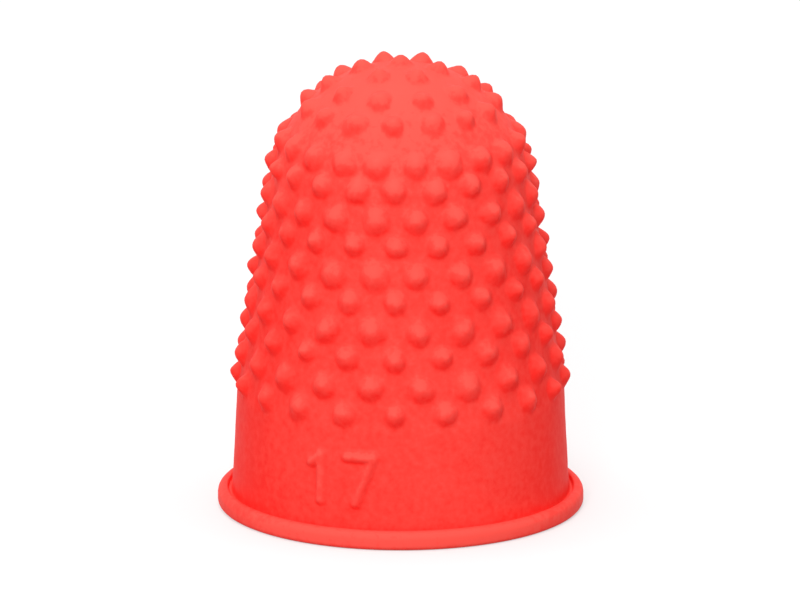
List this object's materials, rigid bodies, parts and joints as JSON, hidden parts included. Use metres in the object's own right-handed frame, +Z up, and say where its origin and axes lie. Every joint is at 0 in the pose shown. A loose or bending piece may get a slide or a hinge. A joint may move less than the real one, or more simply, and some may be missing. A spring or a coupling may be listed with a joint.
{
  "type": "rubber finger cone",
  "caption": "Soft red rubber fingertip cap with a smooth collar, a raised rim round the open mouth and a domed cone covered in grip pimples, worn to turn or count paper.",
  "frame": {"origin": "centre of the open mouth, in the plane of the rim's underside", "axes": "+Z up the axis of the cone towards the dome, -Y towards the side seen in the picture"},
  "size_m": [0.022, 0.022, 0.0278],
  "materials": {
    "red_rubber": "matt moulded rubber"
  },
  "bodies": {
    "root": {"finger_cone": "red_rubber"}
  },
  "joints": []
}
